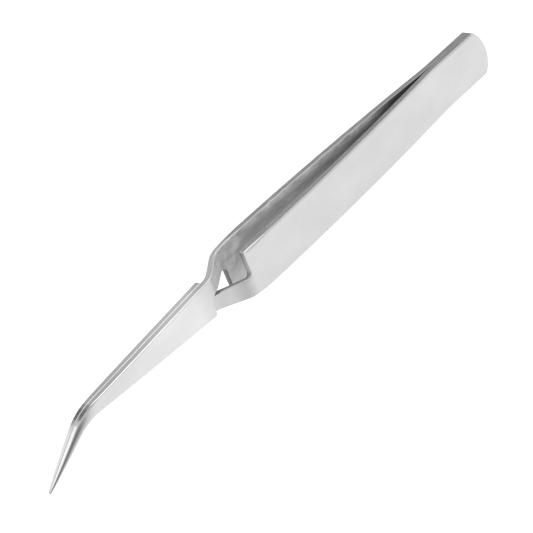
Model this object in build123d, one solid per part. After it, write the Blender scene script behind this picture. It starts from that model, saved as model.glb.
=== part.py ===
"""Self-closing (reverse-action) tweezers with fine curved points.

Two strips of stainless sheet are spot-welded face to face at the head. Behind the jaws each strip is notched
to half its width and cranked across the middle plane, so the handle at the front carries the jaw at the back
and the other way round. Squeezing the handles therefore opens the points, and letting go closes them.

Frame: X runs along the tweezers, points at -X and head at +X. Y runs through the thickness, with the front
leaf's handle at -Y. Z runs across the width of the leaves, up. The origin is at the centre of the bottom of
the bounding box. While building, the head's end is at X = 0, the middle of the leaf width at Z = 0 and the
plane where the leaves meet at Y = 0. Stations are distances from the head's end, in millimetres.
"""
from build123d import *
import math
import os

# Sheet and head
leaf_width = 8.5
leaf_thickness = 1.27
head_radius = 6.0
weld_length = 13.15

# Handle: a shallow bow that starts at the weld and runs parallel to the middle plane at its far end
bow_end = 67.5
handle_offset = 3.1

# Crossing: a notch takes half of each leaf away, and the strip left is cranked across the middle plane
notch_start = 68.85
notch_end = 76.85
front_notch_end = 76.4
front_notch_floor = -0.5
back_notch_floor = 0.28
notch_heel_radius = 0.9
notch_toe_radius = 1.9
notch_corner_radius = 0.3
crank_vertex = 69.9
crank_angle = 35.0
crank_radius = 3.9
strip_taper_start = 66.5
strip_blend_radius = 27.0

# Jaws: both have the same outline, straight and then bent towards -Z in the plane of the leaf
jaw_gap = 0.04
jaw_root_top = 3.13
jaw_root_bottom = -3.31
jaw_corner_radius = 0.6
jaw_bend_station = 109.0
jaw_bend_height = -0.58
jaw_bend_width = 1.86
jaw_bend_radius = 11.5
tip_station = 120.58
tip_height = -7.44
tip_radius = 0.13

# Grinding of the jaws' outer faces: thickness left at each station, from full sheet down to the points
grind_start = 84.0
grind_stations = [102.0, 112.5, 117.3]
grind_thickness = [1.13, 0.89, 0.58]
tip_thickness = 0.12

# Flexing line: each leaf bends just in front of the weld, where it is split into tail and leaf
flexure_gap = 0.12

# Spot welds
nugget_stations = [5.0, 10.0]
nugget_radius = 1.6
nugget_thickness = 0.8

# Sizes that follow
half_width = leaf_width / 2
half_sheet = leaf_thickness / 2
jaw_offset = half_sheet + jaw_gap / 2
blank_height = 3 * leaf_width
blank_depth = 4 * leaf_width
beyond_tip = tip_station + leaf_width


def edge_offsets(station, height, width, heading):
    """Top and bottom edge points of a jaw at a point of its centreline, square to a heading in degrees."""
    across = Vector(math.sin(math.radians(heading)), math.cos(math.radians(heading))) * (width / 2)
    middle = Vector(-station, height)
    return middle + across, middle - across


def jaw_edges():
    """Corner points of the jaw's two edges, from the root over the bend to the point."""
    root_height = (jaw_root_top + jaw_root_bottom) / 2
    root_heading = math.degrees(
        math.atan2(jaw_bend_height - root_height, jaw_bend_station - notch_end))
    tip_heading = math.degrees(
        math.atan2(tip_height - jaw_bend_height, tip_station - jaw_bend_station))
    half_turn = (root_heading - tip_heading) / 2
    bend_width = jaw_bend_width / math.cos(math.radians(half_turn))
    bend = edge_offsets(jaw_bend_station, jaw_bend_height, bend_width, (root_heading + tip_heading) / 2)
    tip = edge_offsets(tip_station, tip_height, 2 * tip_radius, tip_heading)
    nose = Vector(-tip_station, tip_height) + Vector(
        -math.cos(math.radians(tip_heading)), math.sin(math.radians(tip_heading))) * tip_radius
    return bend, tip, nose


def leaf_outline(notch_side):
    """Outline of a leaf in front of the weld, seen square to its face. notch_side is +1 for a top notch."""
    bend, tip, nose = jaw_edges()
    start = weld_length + flexure_gap
    floor, end = (front_notch_floor, front_notch_end) if notch_side == 1 else (back_notch_floor, notch_end)
    half_bend_width = jaw_bend_width / 2
    root = {1: jaw_root_top, -1: jaw_root_bottom}
    edges = []
    for side, index in ((1, 0), (-1, 1)):
        bend_radius = jaw_bend_radius + side * half_bend_width
        if side == notch_side:
            points = [
                (-start, side * half_width),
                (-notch_start, side * half_width),
                (-notch_start, floor),
                (-end, floor),
                (-end, root[side]),
                bend[index],
                tip[index],
            ]
            radii = [notch_corner_radius, notch_heel_radius, notch_toe_radius, jaw_corner_radius, bend_radius]
        else:
            points = [
                (-start, side * half_width),
                (-strip_taper_start, side * half_width),
                (-notch_end, root[side]),
                bend[index],
                tip[index],
            ]
            radii = [strip_blend_radius, strip_blend_radius, bend_radius]
        edges += FilletPolyline(*points, radius=radii).edges()
    edges += ThreePointArc(tip[0], nose, tip[1]).edges()
    edges += Line((-start, half_width), (-start, -half_width)).edges()
    return make_face([Plane.XZ * edge for edge in edges])


def leaf_path(side):
    """Middle line of a leaf's sheet, seen from above, with its handle on the given side of the middle plane."""
    weld_end = (-weld_length, side * half_sheet)
    shoulder = (-bow_end, side * handle_offset)
    crank_run = (handle_offset + jaw_offset) / math.tan(math.radians(crank_angle))
    crank = FilletPolyline(
        shoulder,
        (-crank_vertex, side * handle_offset),
        (-crank_vertex - crank_run, -side * jaw_offset),
        (-beyond_tip, -side * jaw_offset),
        radius=crank_radius,
    )
    bow = TangentArc(shoulder, weld_end, tangent=(1, 0))
    return Wire(bow.edges() + crank.edges())


def ground_away(side):
    """Metal ground off the outer face of the jaw that the leaf with its handle on the given side carries."""
    outer = -side
    thickness = [leaf_thickness] + grind_thickness + [tip_thickness]
    stations = [grind_start] + grind_stations + [tip_station]
    points = [(-station, outer * (jaw_gap / 2 + depth)) for station, depth in zip(stations, thickness)]
    face_line = Spline(*points, tangents=[(-1, 0), (-0.6, -outer)])
    far = outer * 2 * leaf_thickness
    rest = Polyline(points[-1], (-beyond_tip, 0), (-beyond_tip, far), (-grind_start, far), points[0])
    area = make_face(face_line.edges() + rest.edges())
    return extrude(area, amount=blank_height / 2, both=True)


def leaf(side, notch_side):
    """The flexing part of a leaf, from the weld to its point."""
    path = leaf_path(side)
    start = Plane(origin=(-weld_length, side * half_sheet, 0), x_dir=(0, 0, 1), z_dir=path % 1)
    section = start * Rectangle(blank_height, leaf_thickness)
    ribbon = sweep(section, path=path)
    outline = extrude(leaf_outline(notch_side), amount=blank_depth / 2, both=True)
    return ribbon & outline - ground_away(side)


def nuggets():
    """Fused discs between the two tails."""
    disc = Rot(90, 0, 0) * Cylinder(nugget_radius, nugget_thickness)
    return [Pos(-station, 0, 0) * disc for station in nugget_stations]


def tail(side):
    """The welded end of a leaf, with the round end of the head and half of each weld's bed."""
    sagitta = head_radius - math.sqrt(head_radius**2 - half_width**2)
    top = Polyline((-sagitta, half_width), (-weld_length, half_width), (-weld_length, -half_width),
                   (-sagitta, -half_width))
    end = ThreePointArc((-sagitta, half_width), (0, 0), (-sagitta, -half_width))
    face = make_face([Plane.XZ * edge for edge in top.edges() + end.edges()])
    plate = extrude(face, amount=-side * leaf_thickness)
    for nugget in nuggets():
        plate -= nugget
    return plate


def main():
    nodes = {
        "front_leaf": leaf(side=-1, notch_side=1),
        "back_leaf": leaf(side=1, notch_side=-1),
        "front_leaf_tail": tail(side=-1),
        "back_leaf_tail": tail(side=1),
        "spot_welds": Compound(nuggets()),
    }
    box = Compound(list(nodes.values())).bounding_box()
    to_origin = Pos(-(box.min.X + box.max.X) / 2, 0, -box.min.Z)
    os.makedirs("parts", exist_ok=True)
    for name, shape in nodes.items():
        export_step(to_origin * shape, f"parts/{name}.step")
    print("head end at X", round(-(box.min.X + box.max.X) / 2, 3), "middle of the leaves at Z", round(-box.min.Z, 3))


main()
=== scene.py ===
"""Self-closing (reverse-action) tweezers with fine curved points: the looks, built around the CAD frame.

Each leaf is one continuous strip of satin stainless steel. Its flat blank is drawn as an outline with rounded
corners, given broken edges all round, ground thinner and rounder towards the point, and bent to the leaf's
middle line. It then bends between the welded head and the leaf's own body. The leaf's dimensions repeat those
of the CAD model. Lengths are in millimetres in the tables and functions below, and in metres in Blender.
Stations are distances from the head's end, so they grow towards the point.
"""
import math

import bmesh
import bpy
import numpy as np
from mathutils import Matrix, Vector
from mathutils.geometry import delaunay_2d_cdt


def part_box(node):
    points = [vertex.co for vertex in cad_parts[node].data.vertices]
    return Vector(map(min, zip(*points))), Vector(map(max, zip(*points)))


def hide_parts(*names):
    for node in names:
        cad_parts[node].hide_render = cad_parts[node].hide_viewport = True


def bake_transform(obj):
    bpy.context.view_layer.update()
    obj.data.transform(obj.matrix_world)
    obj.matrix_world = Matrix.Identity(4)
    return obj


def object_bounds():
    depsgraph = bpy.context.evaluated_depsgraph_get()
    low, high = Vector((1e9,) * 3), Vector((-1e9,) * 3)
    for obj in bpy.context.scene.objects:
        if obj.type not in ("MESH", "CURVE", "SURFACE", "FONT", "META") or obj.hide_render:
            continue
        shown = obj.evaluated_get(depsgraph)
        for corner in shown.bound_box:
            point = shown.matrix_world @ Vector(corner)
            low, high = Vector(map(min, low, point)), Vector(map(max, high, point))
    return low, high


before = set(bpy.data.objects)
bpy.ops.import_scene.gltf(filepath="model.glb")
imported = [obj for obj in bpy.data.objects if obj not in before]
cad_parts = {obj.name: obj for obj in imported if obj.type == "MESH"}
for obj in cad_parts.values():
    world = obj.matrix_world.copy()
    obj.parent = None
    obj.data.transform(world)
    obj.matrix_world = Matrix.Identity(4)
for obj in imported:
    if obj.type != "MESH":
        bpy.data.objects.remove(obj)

cad_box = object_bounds()

MM = 0.001

# The frame's own sizes
tail_low, tail_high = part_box("front_leaf_tail")
head_x = tail_high.x / MM
middle_z = (tail_low.z + tail_high.z) / 2 / MM
leaf_width = (tail_high.z - tail_low.z) / MM
leaf_thickness = (tail_high.y - tail_low.y) / MM
weld_length = (tail_high.x - tail_low.x) / MM

# Head
head_radius = 6.0
head_corner_radius = 0.35
head_steps = 22

# Handle: a shallow bow from the weld to the crossing
bow_end = 67.5
handle_offset = 3.1
bow_start_gap = 3.0
bow_step = 0.5
weld_bend_radius = 22.0

# Crossing
notch_start = 68.85
notch_end = 76.85
front_notch_end = 76.4
front_notch_floor = -0.5
back_notch_floor = 0.28
notch_heel_radius = 0.9
notch_toe_radius = 1.9
notch_corner_radius = 0.3
crank_vertex = 69.9
crank_angle = 35.0
crank_radius = 3.9
strip_taper_start = 66.5
strip_blend_radius = 27.0
# Painted shade across the outside of the crank's first bend: its middle and half-width
painted_bend_shade_station = 70.6
painted_bend_shade_reach = 2.2
crank_run_in = 2.0

# Painted light band on the inner faces, under the upper edge, where light falls past the other leaf's edge:
# its width at each station, and how soft its border is
painted_light_stations = [24.0, 40.0, 50.0, 60.0, 65.0, 70.0]
painted_light_widths = [0.0, 0.85, 1.65, 1.0, 2.0, 9.0]
painted_light_border = 0.25

# Jaws
jaw_gap = 0.04
jaw_root_top = 3.13
jaw_root_bottom = -3.31
jaw_corner_radius = 0.6
jaw_bend_station = 109.0
jaw_bend_height = -0.58
jaw_bend_width = 1.86
jaw_bend_radius = 11.5
tip_station = 120.58
tip_height = -7.44
tip_radius = 0.13
nose_steps = 10

# Grinding of the jaws' outer faces, from full sheet to the points
grind_start = 84.0
grind_power = 3.0
grind_roundness = 0.6
tip_thickness = 0.13
grind_probe = 0.05

# Broken edges: how far the rounding reaches in from a face's edge, and how deep it goes
handle_break = (0.5, 0.12)
inner_break = (0.12, 0.12)
jaw_break = (0.25, 0.20)
lower_break = (0.12, 0.10)
contact_break = (0.14, 0.14)
contact_share = (0.25, 0.15)
seam_break = (0.005, 0.005)
notch_break = (0.12, 0.08)
strip_break = (0.25, 0.40)
near_notch_outer_break = (0.5, 0.35)
near_notch_inner_break = (0.28, 0.28)

# Past the bend, the jaw's outer face is rounded over more of its width, as shares of the jaw's width and
# thickness, and slightly crowned
rounding_start = 105.0
rounding_full = 110.5
upper_rounding_width = 0.84
lower_rounding_width = 0.06
rounding_depth_share = 0.04
crown_share = 0.08

# Stations between which a finish, an edge's size, a painted highlight or a painted shade changes
near_notch_zone = (62, 67)
crossing_zone = (60, 67)
painted_gap_shade_zone = (10, 50)
jaw_run_in = 4.0
# Stations where the painted highlight on the jaw's upper edge fades in and out
painted_highlight_start_zone = (notch_end - 2, notch_end + 16)
painted_highlight_end_zone = (110, 112)

# The same around the weld's end, as distances from it
weld_edge_zone = (-0.5, 1.5)

# Where the blank's edge counts as a wall of the notch: from these distances about the notch's start, up to
# this far before its end, above these heights towards the notched side, and up to this far below the leaf's
# own edge
wall_start = (-0.4, -0.1)
wall_end_run = 0.6
wall_floor = (-1.6, -1.0)
wall_top_run = 0.05

# The share of an edge's normal that lies across the leaf's width, where the edge starts and fully counts as an
# upper one, and as one that runs along the leaf
upper_turn = (-0.5, 0.5)
level_turn = (0.5, 0.95)

# How far a rounding's normal leans from the face's towards the wall's, from 0 to 1, where it counts as edge,
# and where the painted highlight on it begins and stops. The last pair is how far such an edge faces up.
edge_steepness = (0.85, 1.0)
painted_highlight_steepness = (0.3, 0.6)
painted_highlight_steepness_end = (0.85, 0.97)
painted_highlight_side = (0, 0.7)

# By the side of the leaf's handle: the stations between which the painted highlight on the point's edges
# starts, its strength, and where painted shade darkens the walls of the notch: in the back leaf, behind the
# front one
painted_tip_highlight_zone = {1: (108.6, 111.6), -1: (109.5, 112.5)}
painted_tip_highlight_share = {1: 1.0, -1: 0.6}
painted_notch_shade_sides = {1: 1.0, -1: 0.0}

# Painted shade: a darker band on the jaw's outer face past the bend, where the rounded point reflects dark
# surroundings. The stations it starts between, and the shares of the jaw's width, from the lower edge, up to
# which it darkens and between which it clears again
painted_shade_start = 106.0
painted_shade_full = 111.5
painted_shade_reach = 0.6
painted_shade_top = (0.83, 0.99)

# Mesh fineness
edge_step = 0.8
fine_edge_step = 0.25
face_step = 1.1
fine_face_step = 0.45
break_rows = 7
grid_clearance = 0.6
line_step = 0.05
line_overrun = 5.0

# Where the mesh is fine: from this far before the weld's end to this far past it, and from this far before the
# bow's end to the point
weld_fine_before = 3.0
weld_fine_behind = 4.0
crank_fine_before = 2.0

# Camera: degrees, millimetres for the lens and metres for places
camera_azimuth = -36.49
camera_elevation = 29.18
camera_roll = -22.82
camera_distance = 0.5854
camera_aim = (-0.0024, 0, 0.00403)
camera_lens = 233.0
camera_clip = (0.01, 10)

# Floor, in metres
floor_size = 6.0
floor_glow = 0.7
floor_shade = 0.5
floor_roughness = 0.9
floor_drop = 0.0002

# Where the floor's glow in front of the tweezers fades out, as they reflect it, in metres
board_fade = -0.025
board_end = -0.060

# Studio: its brightness, and zones of another brightness: direction, inner and outer half-angle in degrees,
# brightness
studio_brightness = 1.3
studio_zones = (
    ((0.03, -0.97, 0.20), 14, 40, 0.45),
    ((0.62, 0.62, 0.40), 5, 22, 0.5),
    ((0.06, 0.702, 0.71), 4, 16, 0.15),
    ((0.45, -0.3, 0.85), 8, 25, 2.4),
    ((-0.5, 0.6, 0.62), 8, 22, 1.65),
)

# Brightness of the steel's base colour: a first value, then masks in order, each with the value it brings
handle_face = 0.56
# Painted light: the jaw's outer faces are brighter than the handle's, most near their root, as the light near
# the points is brighter
jaw_face_layers = (("jaw", 0.65), ("reach", 0.57))
# How far the painted shade darkens the band on the point's outer face
painted_shade_dimming = 0.18
# Painted highlight on the jaw's upper edge, painted shade on the crank's bent face, and more painted shade
# across the crank's first bend
face_mark_layers = (("painted_highlight", 0.88), ("crank", 0.48), ("bend", 0.37))
inner_face = 0.50
# Painted shade in the narrow gap between the leaves, darkest near the head
inner_face_layers = (("painted_gap_shade", 0.22),)
# Painted light band on the inner faces: brighter than the rest, dimmer at the crossing
painted_light_face = 0.63
painted_light_face_layers = (("crossing", 0.50),)
handle_edge = 0.40
# Edges: past the bend, a painted highlight makes the point's edges near white
edge_layers = (("jaw", 0.52), ("reach", 0.34), ("painted_tip_highlight", 0.62))

# Walls of the notch, from the outer to the inner face, and how far painted shade darkens them in the back
# leaf, behind the front one
shear_brightness = (0.38, 0.20)
shear_depths = (0.3, 1.0)
painted_notch_shade_dimming = 0.45

# Roughness and other settings of the steel, with the grain's depth in metres
face_roughness = 0.30
roughness_layers = (("inner", 0.52), ("edge", 0.26), ("point", 0.24), ("cut", 0.45))
roughness_variation = 0.04
blue_tint = 1.006
painted_light_metallic = 0.3
grain_depth = 0.000004
grain_strength = (0.25, 0.9)
grain_shift = 40

half_width = leaf_width / 2
half_sheet = leaf_thickness / 2
jaw_offset = half_sheet + jaw_gap / 2


def smooth(value, start, end):
    """0 before start, 1 after end, and an even blend between."""
    share = np.clip((value - start) / (end - start), 0, 1)
    return share * share * (3 - 2 * share)


def rounded(corners, arc_step=6.0, fewest=6):
    """Points along a line through corners (x, y, radius). Radius 0 keeps the corner as a point."""
    points = []
    for index, (x, y, radius) in enumerate(corners):
        here = np.array((x, y), float)
        if radius == 0:
            points.append(here)
            continue
        back = np.array(corners[index - 1][:2]) - here
        ahead = np.array(corners[(index + 1) % len(corners)][:2]) - here
        back /= np.linalg.norm(back)
        ahead /= np.linalg.norm(ahead)
        half = math.acos(np.clip(back @ ahead, -1, 1)) / 2
        middle = (back + ahead) / np.linalg.norm(back + ahead)
        centre = here + middle * radius / math.sin(half)
        turn = math.pi - 2 * half
        across = here + back * radius / math.tan(half) - centre
        along = -back * radius
        steps = max(fewest, math.ceil(math.degrees(turn) / arc_step))
        for angle in np.linspace(0, turn, steps + 1):
            points.append(centre + across * math.cos(angle) + along * math.sin(angle))
    return np.array(points)


def jaw_corners():
    """Middle of the jaw's bend, the step from it to the upper edge's corner, and the heading of the point."""
    root_height = (jaw_root_top + jaw_root_bottom) / 2
    root_heading = math.atan2(jaw_bend_height - root_height, jaw_bend_station - notch_end)
    tip_heading = math.atan2(tip_height - jaw_bend_height, tip_station - jaw_bend_station)
    bend_heading = (root_heading + tip_heading) / 2
    bend_width = jaw_bend_width / math.cos((root_heading - tip_heading) / 2)
    across_bend = np.array((-math.sin(bend_heading), math.cos(bend_heading))) * bend_width / 2
    bend = np.array((jaw_bend_station, jaw_bend_height))
    return bend, across_bend, tip_heading


def nose_points(heading):
    """The round end of the point, from its upper to its lower edge."""
    angles = heading + np.linspace(math.pi / 2, -math.pi / 2, nose_steps + 1)
    return [(tip_station + tip_radius * math.cos(angle), tip_height + tip_radius * math.sin(angle), 0)
            for angle in angles]


def leaf_outline(notch_side):
    """Closed outline of a whole leaf's blank: upper edge, point, lower edge and round head."""
    bend, across_bend, tip_heading = jaw_corners()
    sagitta = head_radius - math.sqrt(head_radius**2 - half_width**2)
    floor, end = (front_notch_floor, front_notch_end) if notch_side == 1 else (back_notch_floor, notch_end)
    sides = {}
    for side, root in ((1, jaw_root_top), (-1, jaw_root_bottom)):
        corners = [(sagitta, side * half_width, head_corner_radius)]
        if side == notch_side:
            corners += [
                (notch_start, side * half_width, notch_corner_radius),
                (notch_start, floor, notch_heel_radius),
                (end, floor, notch_toe_radius),
                (end, root, jaw_corner_radius),
            ]
        else:
            corners += [
                (strip_taper_start, side * half_width, strip_blend_radius),
                (notch_end, root, strip_blend_radius),
            ]
        corners.append((*(bend + side * across_bend), jaw_bend_radius + side * jaw_bend_width / 2))
        sides[side] = corners
    half_angle = math.asin(half_width / head_radius)
    head_angles = np.linspace(-half_angle, half_angle, head_steps + 1)[1:-1]
    head = [(head_radius * (1 - math.cos(a)), head_radius * math.sin(a), 0) for a in head_angles]
    corners = sides[1] + nose_points(tip_heading) + sides[-1][::-1] + head
    return subdivided(rounded(corners))


def subdivided(points):
    """The same closed line with its long runs divided, finely where the sheet is bent."""
    result = []
    for here, there in zip(points, np.roll(points, -1, axis=0)):
        middle = (here[0] + there[0]) / 2
        fine = abs(middle - weld_length) < weld_fine_before or middle > bow_end - crank_fine_before
        step = fine_edge_step if fine else edge_step
        count = max(1, math.ceil(np.linalg.norm(there - here) / step))
        result += [here + (there - here) * part / count for part in range(count)]
    return np.array(result)


def inward_normals(outline):
    """Unit normals into the sheet at each outline point."""
    back = outline - np.roll(outline, 1, axis=0)
    ahead = np.roll(outline, -1, axis=0) - outline
    back /= np.linalg.norm(back, axis=1)[:, None]
    ahead /= np.linalg.norm(ahead, axis=1)[:, None]
    along = back + ahead
    along /= np.linalg.norm(along, axis=1)[:, None]
    return np.stack([along[:, 1], -along[:, 0]], axis=1)


def middle_line():
    """Stations, offsets and slopes of the sheet's middle line, with the handle at a positive offset."""
    run, rise = bow_end - weld_length, handle_offset - half_sheet
    radius = (run**2 + rise**2) / (2 * rise)
    bow = [(station, handle_offset - radius + math.sqrt(radius**2 - (bow_end - station) ** 2), 0)
           for station in np.arange(weld_length + bow_start_gap, bow_end, bow_step)]
    crank_run = (handle_offset + jaw_offset) / math.tan(math.radians(crank_angle))
    corners = [(-line_overrun, half_sheet, 0), (weld_length, half_sheet, weld_bend_radius)] + bow + [
        (crank_vertex, handle_offset, crank_radius),
        (crank_vertex + crank_run, -jaw_offset, crank_radius),
        (tip_station + line_overrun, -jaw_offset, 0),
    ]
    line = rounded(corners, arc_step=0.5)
    stations = np.arange(-2, tip_station + 2, line_step)
    offsets = np.interp(stations, line[:, 0], line[:, 1])
    return stations, offsets, np.gradient(offsets, stations)


LINE = middle_line()


def thickness(station):
    """Sheet thickness left by grinding."""
    share = np.clip((station - grind_start) / (tip_station - grind_start), 0, 0.999)
    return tip_thickness + (leaf_thickness - tip_thickness) * (1 - share**grind_power) ** grind_roundness


def jaw_width(station):
    """Width of the jaw across its middle line."""
    root_width = jaw_root_top - jaw_root_bottom
    return np.interp(station, [notch_end, jaw_bend_station, tip_station],
                     [root_width, jaw_bend_width, 2 * tip_radius])


def bent(flat, normals, side):
    """Places and normals of blank points (station, height, depth) on the finished leaf, in metres.

    Depth runs from 0 at the face towards the middle plane at the jaw, in shares of the thickness. side is the
    sign of Y on which the leaf's handle lies.
    """
    station, height, share = flat.T
    offset = np.interp(station, LINE[0], LINE[1])
    slope = np.interp(station, LINE[0], LINE[2])
    steep = np.sqrt(1 + slope**2)
    along = np.stack([1 / steep, slope / steep], axis=1)
    outward = np.stack([-slope / steep, 1 / steep], axis=1)
    # The jaw's contact face is the handle's outer face
    depth = half_sheet - share * thickness(station)
    places = np.stack([station, offset], axis=1) + outward * depth[:, None]
    thinning = thickness(station + grind_probe) - thickness(station - grind_probe)
    grind_slope = thinning / (2 * grind_probe) * share
    tilt = normals[:, 0] + normals[:, 2] * grind_slope
    turned = along * tilt[:, None] + outward * normals[:, 2:3]
    result = np.stack([head_x - places[:, 0], side * places[:, 1], middle_z + height], axis=1) * MM
    direction = np.stack([-turned[:, 0], side * turned[:, 1], normals[:, 1]], axis=1)
    return result, direction / np.linalg.norm(direction, axis=1)[:, None]


def break_sizes(outline, inward, cut):
    """Width and depth of the rounding at the handle's outer and then inner face, and the crown's height."""
    station = outline[:, 0]
    upper = smooth(-inward[:, 1], *upper_turn)
    strip = smooth(abs(inward[:, 1]), *level_turn)
    crossed = smooth(station, notch_start, notch_end)
    free = smooth(station, *(weld_length + distance for distance in weld_edge_zone))
    rounding = smooth(station, rounding_start, rounding_full)
    near_notch = smooth(station, *near_notch_zone)
    sheet = thickness(station)
    full_width = lower_rounding_width + (upper_rounding_width - lower_rounding_width) * upper
    full = (full_width * jaw_width(station), rounding_depth_share * sheet)
    most = (widest_break(outline), sheet)
    outer, inner = [], []
    for part in (0, 1):
        whole = (jaw_width(station), sheet)[part]
        contact = np.minimum(contact_break[part], contact_share[part] * whole)
        handle = handle_break[part] + (near_notch_outer_break[part] - handle_break[part]) * near_notch
        handle = lower_break[part] + (handle - lower_break[part]) * upper
        handle = handle + (contact - handle) * crossed
        welded = seam_break[part] + (inner_break[part] - seam_break[part]) * free
        welded = welded + (near_notch_inner_break[part] - welded) * near_notch
        jaw_edge = lower_break[part] + (jaw_break[part] - lower_break[part]) * upper
        jaw = welded + (jaw_edge - welded) * crossed
        jaw = jaw + (full[part] - jaw) * rounding
        for found, size in ((outer, handle), (inner, jaw)):
            notch = notch_break[part] + (strip_break[part] - notch_break[part]) * strip
            sheared = size + (notch - size) * cut
            found.append(np.minimum(sheared, most[part]))
    crown = crown_share * sheet * rounding * upper
    return outer, inner, crown


def widest_break(outline, share=0.8, slope=0.7):
    """The most that each outline point can move inwards, which is little at a tight outside corner."""
    ahead = np.roll(outline, -1, axis=0) - outline
    length = np.linalg.norm(ahead, axis=1)
    before = np.roll(ahead, 1, axis=0)
    turn = np.arctan2(ahead[:, 1] * before[:, 0] - ahead[:, 0] * before[:, 1], (ahead * before).sum(axis=1))
    radius = (length + np.roll(length, 1)) / 2 / np.maximum(-turn, 1e-6)
    widest = share * radius
    count = len(outline)
    # Twice round, so that the limit spreads over the line's first point too
    for step in range(2 * count):
        here, previous = step % count, (step - 1) % count
        widest[here] = min(widest[here], widest[previous] + slope * length[previous])
    for step in reversed(range(2 * count)):
        here, following = step % count, (step + 1) % count
        widest[here] = min(widest[here], widest[following] + slope * length[here])
    return widest


def inside(points, loop):
    """Which points lie inside a closed line, by counting the crossings of a ray."""
    x, y = points[:, 0][:, None], points[:, 1][:, None]
    start, end = loop, np.roll(loop, -1, axis=0)
    spans = (start[:, 1] > y) != (end[:, 1] > y)
    rise = np.where(end[:, 1] == start[:, 1], 1, end[:, 1] - start[:, 1])
    crossing = start[:, 0] + (y - start[:, 1]) / rise * (end[:, 0] - start[:, 0])
    return (spans & (x < crossing)).sum(axis=1) % 2 == 1


def grid_inside(loop):
    """Points spread over a face, clear of its edge, finer where the sheet is bent."""
    found = []
    borders = (0, weld_length - weld_fine_before, weld_length + weld_fine_behind, bow_end - crank_fine_before,
               tip_station)
    steps = (face_step, fine_face_step, face_step, fine_face_step)
    for start, end, step in zip(borders, borders[1:], steps):
        stations = np.arange(start, end, step)
        heights = np.arange(-leaf_width, half_width, step)
        grid = np.array(np.meshgrid(stations, heights)).reshape(2, -1).T
        grid = grid[inside(grid, loop)]
        gap = np.linalg.norm(grid[:, None] - loop[None], axis=2).min(axis=1)
        found.append(grid[gap > grid_clearance * step])
    return np.concatenate(found)


def filled(loop):
    """Grid points inside a loop, and the triangles over the loop's points and then the grid's."""
    grid = grid_inside(loop)
    points = [Vector(p) for p in np.concatenate([loop, grid])]
    result = delaunay_2d_cdt(points, [], [list(range(len(loop)))], 1, 1e-7)
    origins = [ids[0] for ids in result[3]]
    return grid, [[origins[v] for v in face] for face in result[2]]


def edge_rows(outline, inward, cut):
    """Rows of blank points over both broken edges, each with its normals and its shares of edge and painted
    highlight.
    """
    sheet = thickness(outline[:, 0])
    outer, inner, crown = break_sizes(outline, inward, cut)
    angles = np.linspace(0, math.pi / 2, break_rows)
    turns = [(angle, *outer, 0) for angle in angles] + [(angle, *inner, 1) for angle in angles[::-1]]
    rows = []
    for angle, width, depth, face in turns:
        inset = width * (1 - math.sin(angle))
        crowned = crown if face else 0 * crown
        sunk = (depth * (1 - math.cos(angle)) + crowned * math.sin(angle) ** 2) / sheet
        share = 1 - sunk if face else sunk
        flat = np.column_stack([outline + inward * inset[:, None], share])
        out = depth * math.sin(angle) + crowned * math.sin(2 * angle)
        up = width * math.cos(angle) * (-1 if face else 1)
        length = np.hypot(out, up)
        steepness = out / length
        normals = np.column_stack([-inward * steepness[:, None], up / length])
        # Painted highlight on the steeper part of an upper rounding
        painted_highlight = smooth(steepness, *painted_highlight_steepness) * (1 - smooth(steepness, *painted_highlight_steepness_end))
        painted_highlight = painted_highlight * smooth(-inward[:, 1], *painted_highlight_side)
        rows.append((flat, normals, smooth(steepness, *edge_steepness), painted_highlight))
    return rows


def faces_between(rows, count):
    """Four-sided faces between neighbouring rows of that many points."""
    faces = []
    for start in range(0, (rows - 1) * count, count):
        for index in range(count):
            following = (index + 1) % count
            faces.append([start + index, start + following, start + count + following, start + count + index])
    return faces


def covered(rows, count):
    """The rows of points with both faces' inner points added, and all faces of the closed mesh."""
    parts = list(rows)
    faces = faces_between(len(rows), count)
    for row, share in ((0, 0.0), (len(rows) - 1, 1.0)):
        grid, triangles = filled(rows[row][0][:, :2])
        start = sum(len(flat) for flat, *_ in parts)
        numbers = list(range(row * count, (row + 1) * count)) + list(range(start, start + len(grid)))
        faces += [[numbers[v] for v in triangle] for triangle in triangles]
        flat = np.column_stack([grid, np.full(len(grid), share)])
        normals = np.tile((0, 0, 1 - 2 * share), (len(grid), 1))
        parts.append((flat, normals, np.zeros(len(grid)), np.zeros(len(grid))))
    return [np.concatenate(values) for values in zip(*parts)], faces


def leaf_mesh(name, side, notch_side):
    """One whole leaf as a closed mesh with exact normals, and the masks and grain that its material reads."""
    outline = leaf_outline(notch_side)
    inward = inward_normals(outline)
    rows = edge_rows(outline, inward, notch_walls(outline, notch_side))
    (flat, normals, edge, painted_highlight), faces = covered(rows, len(outline))
    places, directions = bent(flat, normals, side)
    mesh = bpy.data.meshes.new(name)
    mesh.from_pydata(places.tolist(), [], faces)
    piece = bpy.data.objects.new(name, mesh)
    bpy.context.scene.collection.objects.link(piece)
    face_out(mesh)
    mesh.polygons.foreach_set("use_smooth", [True] * len(mesh.polygons))
    mesh.normals_split_custom_set_from_vertices(directions.tolist())
    masks = leaf_masks(flat, normals, edge, painted_highlight, side, notch_side)
    # Painted shade: the dark band on the point's outer face
    masks["painted_shade_band"] = painted_shade_band(flat, outline, inward) * flat[:, 2]
    for mask_name, values in masks.items():
        attribute = mesh.attributes.new(mask_name, "FLOAT", "POINT")
        attribute.data.foreach_set("value", values.astype(np.float32))
    grain = mesh.attributes.new("grain", "FLOAT_VECTOR", "POINT")
    grain.data.foreach_set("vector", along_leaf(flat, notch_side).ravel().astype(np.float32))
    return piece


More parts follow.
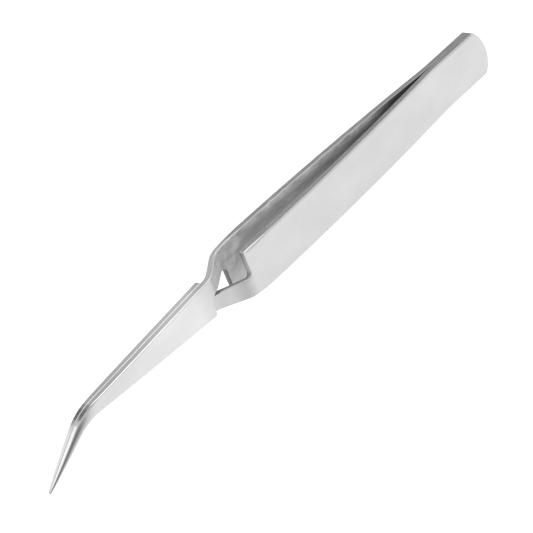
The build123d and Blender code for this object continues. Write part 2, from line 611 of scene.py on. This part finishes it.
def leaf_masks(flat, normals, edge, painted_highlight, side, notch_side):
    """Where each finish, painted shade and painted highlight lies on a leaf, from 0 to 1 at each point. Depth
    is 0 on the handle's outer face.
    """
    station, depth = flat[:, 0], flat[:, 2]
    before_jaw = 1 - smooth(station, crank_vertex + crank_run_in, notch_end + 1)
    on_face = abs(normals[:, 2]) > 0.95
    # Painted highlight along the jaw's upper outer edge, from the notch to the point's bend
    painted_highlight = painted_highlight * depth * smooth(station, *painted_highlight_start_zone) * (1 - smooth(station, *painted_highlight_end_zone))
    # Painted shade on the crank's bent outer face
    crank = smooth(station, crank_vertex, crank_vertex + crank_run_in)
    return {
        "edge": edge,
        "inner": depth * before_jaw,
        "cut": edge * notch_walls(flat, notch_side),
        "depth": depth,
        "jaw": smooth(station, notch_end, notch_end + jaw_run_in),
        "point": smooth(station, rounding_start, rounding_full),
        # Painted shade across the crank's first bend
        "bend": painted_bend_shade(flat),
        # Painted light band under the inner face's upper edge
        "painted_light_band": painted_light_zone(flat) * on_face * before_jaw,
        # Painted shade in the narrow gap between the leaves near the head
        "painted_gap_shade": smooth(-station, -painted_gap_shade_zone[1], -painted_gap_shade_zone[0]),
        "crossing": smooth(station, *crossing_zone),
        "painted_highlight": painted_highlight,
        # Painted highlight on the point's edges, weaker on the back leaf
        "painted_tip_highlight": smooth(station, *painted_tip_highlight_zone[side]) * painted_tip_highlight_share[side],
        # Painted shade on the back leaf's notch walls, behind the front leaf
        "painted_notch_shade": np.full(len(flat), painted_notch_shade_sides[side]),
        "crank": crank * (1 - smooth(station, notch_end - 3, notch_end)),
        "reach": smooth(station, notch_end, jaw_bend_station),
    }


def notch_walls(flat, notch_side):
    """1 on the walls of the notch, and 0 on the rest of the blank's edge."""
    near = smooth(flat[:, 0], *(notch_start + distance for distance in wall_start))
    near = near * (1 - smooth(flat[:, 0], notch_end - wall_end_run, notch_end))
    cut_side = flat[:, 1] * notch_side
    below_top = 1 - smooth(cut_side, half_width - wall_top_run, half_width)
    return near * smooth(cut_side, *wall_floor) * below_top


def painted_light_zone(flat):
    """1 where the inner face gets the painted light band: a widening band under the upper edge, and the whole
    crank.
    """
    station, height = flat[:, 0], flat[:, 1]
    band = np.interp(station, painted_light_stations, painted_light_widths)
    below = half_width - height
    return flat[:, 2] * (1 - smooth(below, band - painted_light_border, band + painted_light_border)) * (band > 0)


def painted_shade_band(flat, outline, inward):
    """How far painted shade darkens the jaw's outer face past the bend, from nothing at its lower edge
    upwards.
    """
    past_start = outline[:, 0] > painted_shade_start - 5
    edges = []
    for side in (-1, 1):
        edge = outline[(inward[:, 1] * side < -0.3) & past_start]
        edge = edge[np.argsort(edge[:, 0])]
        edges.append(np.interp(flat[:, 0], edge[:, 0], edge[:, 1]))
    lower, upper = edges
    share = (flat[:, 1] - lower) / np.maximum(upper - lower, 0.01)
    across = np.clip(share / painted_shade_reach, 0, 1) * (1 - smooth(share, *painted_shade_top))
    return across * smooth(flat[:, 0], painted_shade_start, painted_shade_full)


def painted_bend_shade(flat):
    """1 in the middle of the painted shade across the outside of the crank's first bend."""
    away = abs(flat[:, 0] - painted_bend_shade_station) / painted_bend_shade_reach
    return (1 - smooth(away, 0, 1)) * (1 - flat[:, 2])


def along_leaf(flat, notch_side):
    """Where blank points lie along and across the leaf, turned with the jaw past its bend, in millimetres."""
    bend, _, tip_heading = jaw_corners()
    place = flat[:, :2] - bend
    ahead = np.array((math.cos(tip_heading), math.sin(tip_heading)))
    side = np.array((-ahead[1], ahead[0]))
    halfway = np.array((1 + ahead[0], ahead[1]))
    past = (place @ halfway > 0)[:, None]
    turned = np.where(past, np.stack([place @ ahead, place @ side], axis=1), place)
    depth = flat[:, 2:3] * leaf_thickness
    return np.concatenate([turned, depth], axis=1) + grain_shift * notch_side


def face_out(mesh):
    """Turns every face of a closed mesh outwards."""
    work = bmesh.new()
    work.from_mesh(mesh)
    bmesh.ops.recalc_face_normals(work, faces=work.faces)
    work.to_mesh(mesh)
    work.free()


# Materials


def new_material(name):
    material = bpy.data.materials.new(name)
    material.use_nodes = True
    tree = material.node_tree
    return material, tree, tree.nodes["Principled BSDF"]


def node(tree, kind, **settings):
    made = tree.nodes.new("ShaderNode" + kind)
    for name, value in settings.items():
        setattr(made, name, value)
    return made


def mask(tree, name):
    return node(tree, "Attribute", attribute_name=name).outputs["Fac"]


def noise(tree, along, across, detail=3.0, roughness=0.55):
    """Noise with that many cells per millimetre along and across the leaf."""
    stretch = node(tree, "VectorMath", operation="MULTIPLY")
    tree.links.new(node(tree, "Attribute", attribute_name="grain").outputs["Vector"], stretch.inputs[0])
    stretch.inputs[1].default_value = (along, across, across)
    texture = node(tree, "TexNoise")
    tree.links.new(stretch.outputs["Vector"], texture.inputs["Vector"])
    texture.inputs["Scale"].default_value = 1.0
    texture.inputs["Detail"].default_value = detail
    texture.inputs["Roughness"].default_value = roughness
    return texture.outputs["Fac"]


def math_node(tree, operation, first, second):
    """A Math node, with each input a number or another node's output."""
    made = node(tree, "Math", operation=operation)
    for socket, value in zip(made.inputs, (first, second)):
        if isinstance(value, (int, float)):
            socket.default_value = value
        else:
            tree.links.new(value, socket)
    return made.outputs["Value"]


def ranged(tree, value, low, high, start=0.0, end=1.0):
    """Turns start..end into low..high, each of these a number or another node's output."""
    made = node(tree, "MapRange", clamp=True)
    inputs = {"Value": value, "From Min": start, "From Max": end, "To Min": low, "To Max": high}
    for name, given in inputs.items():
        if isinstance(given, (int, float)):
            made.inputs[name].default_value = given
        else:
            tree.links.new(given, made.inputs[name])
    return made.outputs["Result"]


def blended(tree, share, first, second):
    """First where share is 0, second where it is 1, and an even blend between."""
    return ranged(tree, share, first, second)


def layered(tree, value, layers):
    """A value that gives way, in turn, to each layer's own where that layer's mask is 1."""
    for name, own in layers:
        value = blended(tree, mask(tree, name), value, own)
    return value


def varied(tree, texture, amount, middle=1.0, start=0.3, end=0.7):
    """A texture turned into a number that varies by that amount around the middle."""
    return ranged(tree, texture, middle - amount, middle + amount, start, end)


def steel_tone(tree, lines):
    """Variation of the brightness: soft clouds outside, streaks inside and blotches in the painted light band.
    """
    clouds = noise(tree, along=0.10, across=0.22, detail=2)
    spots = noise(tree, along=0.35, across=0.6, detail=4, roughness=0.65)
    blotches = varied(tree, spots, 0.30, start=0.34, end=0.66)
    inside_tone = blended(tree, mask(tree, "painted_light_band"), varied(tree, lines, 0.25), blotches)
    return blended(tree, mask(tree, "inner"), varied(tree, clouds, 0.035), inside_tone)


def steel_brightness(tree):
    """Brightness of the outer faces, inner faces, edges and notch walls, with painted shade, painted
    highlights and a painted light band.
    """
    face = layered(tree, handle_face, jaw_face_layers)
    # Painted shade darkens the band on the point's outer face
    face = math_node(tree, "MULTIPLY", face, ranged(tree, mask(tree, "painted_shade_band"), 1.0, painted_shade_dimming))
    face = layered(tree, face, face_mark_layers)
    # Painted light band on the inner faces
    painted_light_band = layered(tree, painted_light_face, painted_light_face_layers)
    inner = layered(tree, inner_face, inner_face_layers + (("painted_light_band", painted_light_band),))
    edge = layered(tree, handle_edge, edge_layers)
    shear = ranged(tree, mask(tree, "depth"), *shear_brightness, *shear_depths)
    # Painted shade darkens the back leaf's notch walls
    shear = math_node(tree, "MULTIPLY", shear, ranged(tree, mask(tree, "painted_notch_shade"), 1.0, painted_notch_shade_dimming))
    return layered(tree, face, (("inner", inner), ("edge", edge), ("cut", shear)))


def steel():
    """Satin stainless steel: fine lengthwise grain, duller edges, brushed inner faces, sheared notches, and
    painted shade and highlights in its colour.
    """
    material, tree, shader = new_material("satin_steel")
    lines = noise(tree, along=0.3, across=5.0, detail=4, roughness=0.7)
    fine = noise(tree, along=1.2, across=22.0, detail=2)

    shade = math_node(tree, "MULTIPLY", steel_brightness(tree), steel_tone(tree, lines))
    colour = node(tree, "CombineColor")
    tree.links.new(shade, colour.inputs["Red"])
    tree.links.new(shade, colour.inputs["Green"])
    tree.links.new(math_node(tree, "MULTIPLY", shade, blue_tint), colour.inputs["Blue"])
    tree.links.new(colour.outputs["Color"], shader.inputs["Base Color"])

    roughness = layered(tree, face_roughness, roughness_layers)
    variation = varied(tree, lines, roughness_variation, middle=0.0)
    tree.links.new(math_node(tree, "ADD", roughness, variation), shader.inputs["Roughness"])

    bump = node(tree, "Bump")
    bump.inputs["Distance"].default_value = grain_depth
    tree.links.new(blended(tree, mask(tree, "inner"), *grain_strength), bump.inputs["Strength"])
    tree.links.new(math_node(tree, "ADD", fine, lines), bump.inputs["Height"])
    tree.links.new(bump.outputs["Normal"], shader.inputs["Normal"])
    # The painted light band is made less metallic, so that it looks lit
    tree.links.new(blended(tree, mask(tree, "painted_light_band"), 1.0, painted_light_metallic), shader.inputs["Metallic"])
    return material


def weld_metal():
    """Fused steel: coarse cloudy grain, duller than the sheet."""
    material, tree, shader = new_material("weld_metal")
    place = node(tree, "TexCoord").outputs["Object"]
    clouds = node(tree, "TexNoise")
    tree.links.new(place, clouds.inputs["Vector"])
    clouds.inputs["Scale"].default_value = 2500.0
    clouds.inputs["Detail"].default_value = 4.0
    shade = ranged(tree, clouds.outputs["Fac"], 0.30, 0.50, 0.3, 0.7)
    colour = node(tree, "CombineColor")
    for channel in ("Red", "Green", "Blue"):
        tree.links.new(shade, colour.inputs[channel])
    tree.links.new(colour.outputs["Color"], shader.inputs["Base Color"])
    tree.links.new(ranged(tree, clouds.outputs["Fac"], 0.55, 0.40, 0.3, 0.7), shader.inputs["Roughness"])
    shader.inputs["Metallic"].default_value = 1.0
    return material


def build_welds():
    """The CAD's own fused discs, with a better material."""
    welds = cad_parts["spot_welds"]
    welds.data.materials.clear()
    welds.data.materials.append(weld_metal())


def build_leaves():
    """Both leaves, each as one strip that stands for its CAD leaf and tail and bends in front of the weld."""
    metal = steel()
    for name, side, notch_side in (("front", -1, 1), ("back", 1, -1)):
        body = f"{name}_leaf"
        piece = leaf_mesh(f"{name}_leaf_strip", side, notch_side)
        piece.data.materials.append(metal)
        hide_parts(body, f"{name}_leaf_tail")
        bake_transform(piece)


# Studio


def build_floor():
    """A pale floor. Its glow fades out in front of the tweezers, except where the camera itself sees it."""
    bpy.ops.mesh.primitive_plane_add(size=floor_size, location=(0, 0, cad_box[0][2] - floor_drop))
    floor = bpy.context.object
    floor.name = "floor"
    material, tree, shader = new_material("pale_floor")
    shader.inputs["Base Color"].default_value = (floor_shade, floor_shade, floor_shade, 1)
    shader.inputs["Roughness"].default_value = floor_roughness
    shader.inputs["Specular IOR Level"].default_value = 0.0
    shader.inputs["Emission Color"].default_value = (1, 1, 1, 1)
    place = node(tree, "SeparateXYZ")
    tree.links.new(node(tree, "TexCoord").outputs["Object"], place.inputs["Vector"])
    board = node(tree, "MapRange", interpolation_type="SMOOTHSTEP")
    tree.links.new(place.outputs["Y"], board.inputs["Value"])
    board.inputs["From Min"].default_value = board_end
    board.inputs["From Max"].default_value = board_fade
    board.inputs["To Min"].default_value = 0.0
    board.inputs["To Max"].default_value = floor_glow
    camera_ray = node(tree, "LightPath").outputs["Is Camera Ray"]
    glow = blended(tree, camera_ray, board.outputs["Result"], floor_glow)
    tree.links.new(glow, shader.inputs["Emission Strength"])
    floor.data.materials.append(material)


def build_world():
    """A white studio, with darker zones that the polished edges and points reflect."""
    world = bpy.data.worlds.new("studio")
    bpy.context.scene.world = world
    world.use_nodes = True
    tree = world.node_tree
    direction = node(tree, "TexCoord").outputs["Generated"]
    brightness = studio_brightness
    for zone, inner_angle, outer_angle, zone_brightness in studio_zones:
        towards = node(tree, "VectorMath", operation="DOT_PRODUCT")
        tree.links.new(direction, towards.inputs[0])
        towards.inputs[1].default_value = Vector(zone).normalized()
        share = node(tree, "MapRange", interpolation_type="SMOOTHSTEP")
        tree.links.new(towards.outputs["Value"], share.inputs["Value"])
        share.inputs["From Min"].default_value = math.cos(math.radians(outer_angle))
        share.inputs["From Max"].default_value = math.cos(math.radians(inner_angle))
        brightness = blended(tree, share.outputs["Result"], brightness, zone_brightness)
    camera_ray = node(tree, "LightPath").outputs["Is Camera Ray"]
    brightness = blended(tree, camera_ray, brightness, 1.0)
    tree.links.new(brightness, tree.nodes["Background"].inputs["Strength"])
    tree.nodes["Background"].inputs["Color"].default_value = (1, 1, 1, 1)


def build_camera():
    """A long lens from the points' side, above the front leaf, with the camera tilted."""
    camera = bpy.data.cameras.new("camera")
    camera.lens = camera_lens
    camera.clip_start, camera.clip_end = camera_clip
    eye = bpy.data.objects.new("camera", camera)
    bpy.context.scene.collection.objects.link(eye)
    azimuth, elevation = math.radians(camera_azimuth), math.radians(camera_elevation)
    view = Vector((math.sin(azimuth) * math.cos(elevation), -math.cos(azimuth) * math.cos(elevation),
                   math.sin(elevation)))
    turn = view.to_track_quat("Z", "Y").to_matrix() @ Matrix.Rotation(math.radians(camera_roll), 3, "Z")
    eye.matrix_world = Matrix.Translation(Vector(camera_aim) + view * camera_distance) @ turn.to_4x4()
    bpy.context.scene.camera = eye


bpy.context.scene.view_settings.view_transform = "Standard"
build_leaves()
build_welds()
build_floor()
build_world()
build_camera()
